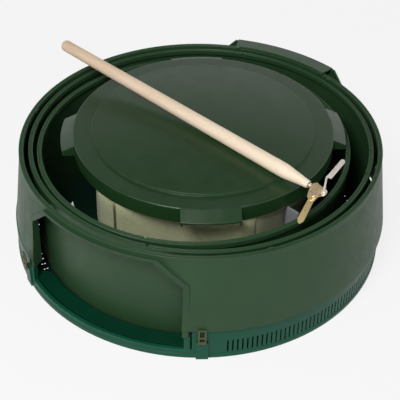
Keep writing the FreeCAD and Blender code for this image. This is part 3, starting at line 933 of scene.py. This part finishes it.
def make_flap(cloth, thread):
    """The grey loose end of the lining at the right front corner."""
    root = plan(flap_corner)
    out = (root - jacket_middle).normalized()
    across = Vector((-out.y, out.x, 0.0))
    rate_out, rate_up = flap_crumple_rates
    points = []
    for column in range(flap_columns + 1):
        share = column / flap_columns
        for row in range(flap_rows + 1):
            height = row / flap_rows
            bend = flap_wave * math.sin(flap_wave_out * share + flap_wave_up * height) * share
            spot = Vector((share * rate_out, height * rate_up, flap_crumple_seed))
            bend += flap_crumple * noise.noise(spot) * share
            points.append(root + out * (flap_root + (flap_reach - flap_root) * share) + across * bend
                          + Vector((0, 0, flap_low + (flap_high - flap_low) * height)))
    faces = grid_faces(flap_columns, flap_rows)
    flap = mesh_piece("jacket_flap_sheet", points, faces, cloth, "jacket_grey")
    thicken(flap, flap_thick, 0.0)
    seam = root + out * flap_seam
    rows = []
    for side in (-1, 1):
        facing = across * side
        place = seam + facing * (flap_thick / 2 + flap_seam_lift)
        row = upright_row(place, flap_low + flap_seam_inset, flap_high - flap_seam_inset)
        rows.append((row, facing))
    seams = stitches("jacket_flap_stitches", rows, thread)
    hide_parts("jacket_flap")


def strap_points(middle, ahead, out):
    """A strap's face: bowed out a little between its sewn ends, and rounded at its long edges."""
    points = []
    for column in range(strap_columns + 1):
        across = column / strap_columns - 0.5
        for step in range(strap_steps + 1):
            share = step / strap_steps
            free = (share - strap_sewn_share) / (1 - 2 * strap_sewn_share)
            bow = strap_bow * math.sin(math.pi * min(1.0, max(0.0, free)))
            edge = strap_edge * (1 - (2 * across) ** strap_edge_power)
            points.append(middle + ahead * (strap_width * across) + out * (strap_lift + bow + edge)
                          + Vector((0, 0, strap_middle + strap_length * (share - 0.5))))
    return points


def strap_seams(middle, ahead, out):
    """Rows of stitches across both ends of a strap."""
    rows = []
    for end in (-1, 1):
        for inset in strap_seam_insets:
            height = strap_middle + end * (strap_length / 2 - inset)
            line = []
            place = -strap_width / 2 + strap_seam_start
            while place + stitch_length < strap_width / 2 - strap_seam_end:
                for reach in (place, place + stitch_length):
                    line.append(middle + ahead * reach + out * strap_seam_lift + Vector((0, 0, height)))
                place += stitch_pitch * strap_pitch_share
            rows.append((line, out))
    return rows


def make_straps(cloth, thread):
    """Two flat webbing straps, sewn to the back of the jacket at both ends."""
    rows = []
    for pair, (first, second) in enumerate(strap_pairs):
        middle = (plan(first) + plan(second)) / 2
        ahead = (plan(second) - plan(first)).normalized()
        out = Vector((ahead.y, -ahead.x, 0.0))
        if out.dot(middle - jacket_middle) < 0:
            out = -out
        points = strap_points(middle, ahead, out)
        faces = grid_faces(strap_columns, strap_steps)
        strap = mesh_piece("jacket_strap_%d" % (pair + 1), points, faces, cloth, "jacket_grey")
        thicken(strap, strap_thick, -1.0)
        rows.extend(strap_seams(middle, ahead, out))
    sewn = stitches("jacket_strap_stitches", rows, thread)
    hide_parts("jacket_straps")


def make_tail(cloth):
    """A pale corner of the lining that hangs out at the jacket's left side, in a lighter copy of the
    lining's cloth: painted light against the shade there.
    """
    outline = [Vector((x, tail_y, z)) for x, z in tail_outline]
    shape = bmesh.new()
    shape.faces.new([shape.verts.new(point) for point in outline])
    bmesh.ops.triangulate(shape, faces=shape.faces[:])
    bmesh.ops.subdivide_edges(shape, edges=shape.edges[:], cuts=tail_cuts, use_grid_fill=True)
    bmesh.ops.triangulate(shape, faces=shape.faces[:])
    for vertex in shape.verts:
        place = vertex.co
        crumple = tail_crumple * noise.noise(place / tail_crumple_size)
        place.y += tail_wave * math.sin(tail_wave_rate * place.z) + crumple
    data = bpy.data.meshes.new("draft")
    shape.to_mesh(data)
    shape.free()
    tail = mesh_piece("jacket_lining_tail", [vertex.co for vertex in data.vertices],
                      [tuple(face.vertices) for face in data.polygons], cloth, "jacket_lining")
    bpy.data.meshes.remove(data)
    thicken(tail, tail_thick, 0.0)


def make_corner_seams(thread):
    """Stitched seams up the jacket's corners, where its panels are sewn together."""
    low = jacket_low + corner_seam_inset
    high = jacket_high - corner_seam_inset
    rows = []
    for index in range(len(jacket_corners)):
        if front_fold[0] <= index <= front_fold[1]:
            continue
        here = plan(index)
        out = (here - jacket_middle).normalized()
        back = here + (plan(index - 1) - here).normalized() * jacket_corner_round
        ahead = here + (plan(index + 1) - here).normalized() * jacket_corner_round
        place = drawn_in(back.lerp(ahead, 0.5).lerp(here, 0.5), cover_outer_share)
        rows.append((upright_row(place + out * corner_seam_lift, low, high), out))
    stitches("jacket_corner_stitches", rows, thread)


def make_jacket():
    """The folded jacket in its cloths, with what is sewn to it."""
    # The olive cloth carries painted shade on the cover's right side
    olive = woven_cloth("jacket_olive", paint(166, 170, 130), paint(180, 183, 144),
                        thread=0.0014, sheen=0.15, shade_start_x=cover_shade_start)
    # The tail's cloth is the lining's, painted lighter: painted light in the shade beside the rings
    lighter_lining = woven_cloth("jacket_tail_painted_light", paint(236, 236, 234), paint(246, 246, 244),
                        thread=0.0009, roughness=0.7)
    pale = woven_cloth("jacket_lining", paint(206, 206, 202), paint(220, 220, 216),
                       thread=0.0009, roughness=0.7)
    grey = woven_cloth("jacket_grey", paint(116, 118, 120), paint(128, 130, 132), thread=0.0011)
    webbing = woven_cloth("jacket_webbing", paint(60, 64, 52), paint(72, 76, 62), thread=0.0022)
    dark_thread = thread_stuff("dark_thread", paint(52, 50, 46), paint(72, 70, 62))
    # Dark thread for the cord: painted shade along the front fold's left edge
    shade_cord_thread = thread_stuff("shade_cord_thread", paint(84, 86, 60), paint(98, 100, 72))
    make_jacket_cover(olive)
    make_jacket_lining(pale)
    make_front_fold(olive)
    make_flap(grey, dark_thread)
    make_straps(webbing, dark_thread)
    make_tail(lighter_lining)
    make_fold_shade_cord(shade_cord_thread)
    make_corner_seams(dark_thread)


make_camera()
make_studio()
dress_plastics()
dress_metals()
dress_wood()
make_jacket()
